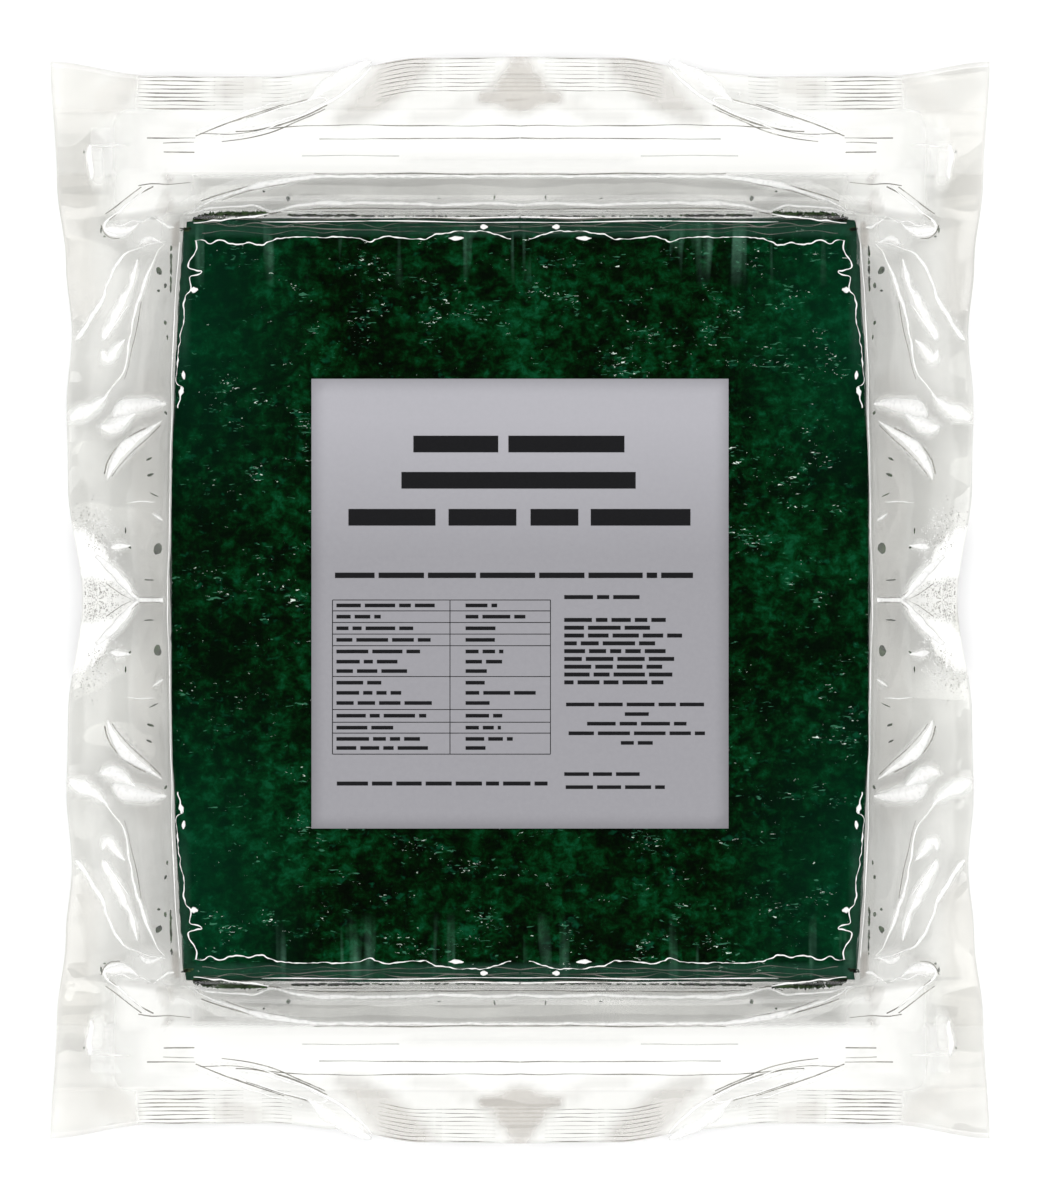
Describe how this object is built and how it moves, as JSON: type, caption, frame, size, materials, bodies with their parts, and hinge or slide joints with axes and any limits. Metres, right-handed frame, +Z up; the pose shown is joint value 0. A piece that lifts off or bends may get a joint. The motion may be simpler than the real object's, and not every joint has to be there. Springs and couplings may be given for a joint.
{
  "type": "nori sheet pack",
  "caption": "Flat sealed pouch of clear film around a stack of dark green nori sheets, with a press-lock and a ribbed seal at each end and a plain paper label on its front.",
  "frame": {"origin": "centre of the pack's footprint, on the surface that it lies on", "axes": "+X across the pouch, +Y towards the head of the label, +Z up through the sheets"},
  "size_m": [0.2648, 0.3064, 0.03],
  "materials": {
    "nori": "satin",
    "clear_film": "glossy clear film",
    "lock_plastic": "glossy, nearly clear",
    "label_paper": "matt coated paper"
  },
  "bodies": {
    "root": {"nori_sheets_01": "nori", "nori_sheets_02": "nori", "nori_sheets_03": "nori", "nori_sheets_04": "nori", "nori_sheets_05": "nori", "nori_sheets_06": "nori", "nori_sheets_07": "nori", "nori_sheets_08": "nori", "nori_sheets_09": "nori", "nori_sheets_10": "nori", "nori_sheet_top": "nori", "film_front": "clear_film", "film_back": "clear_film", "lock_rib_head": "lock_plastic", "lock_rib_foot": "lock_plastic", "lock_channel_head": "lock_plastic", "lock_channel_foot": "lock_plastic", "label": "label_paper"}
  },
  "joints": []
}
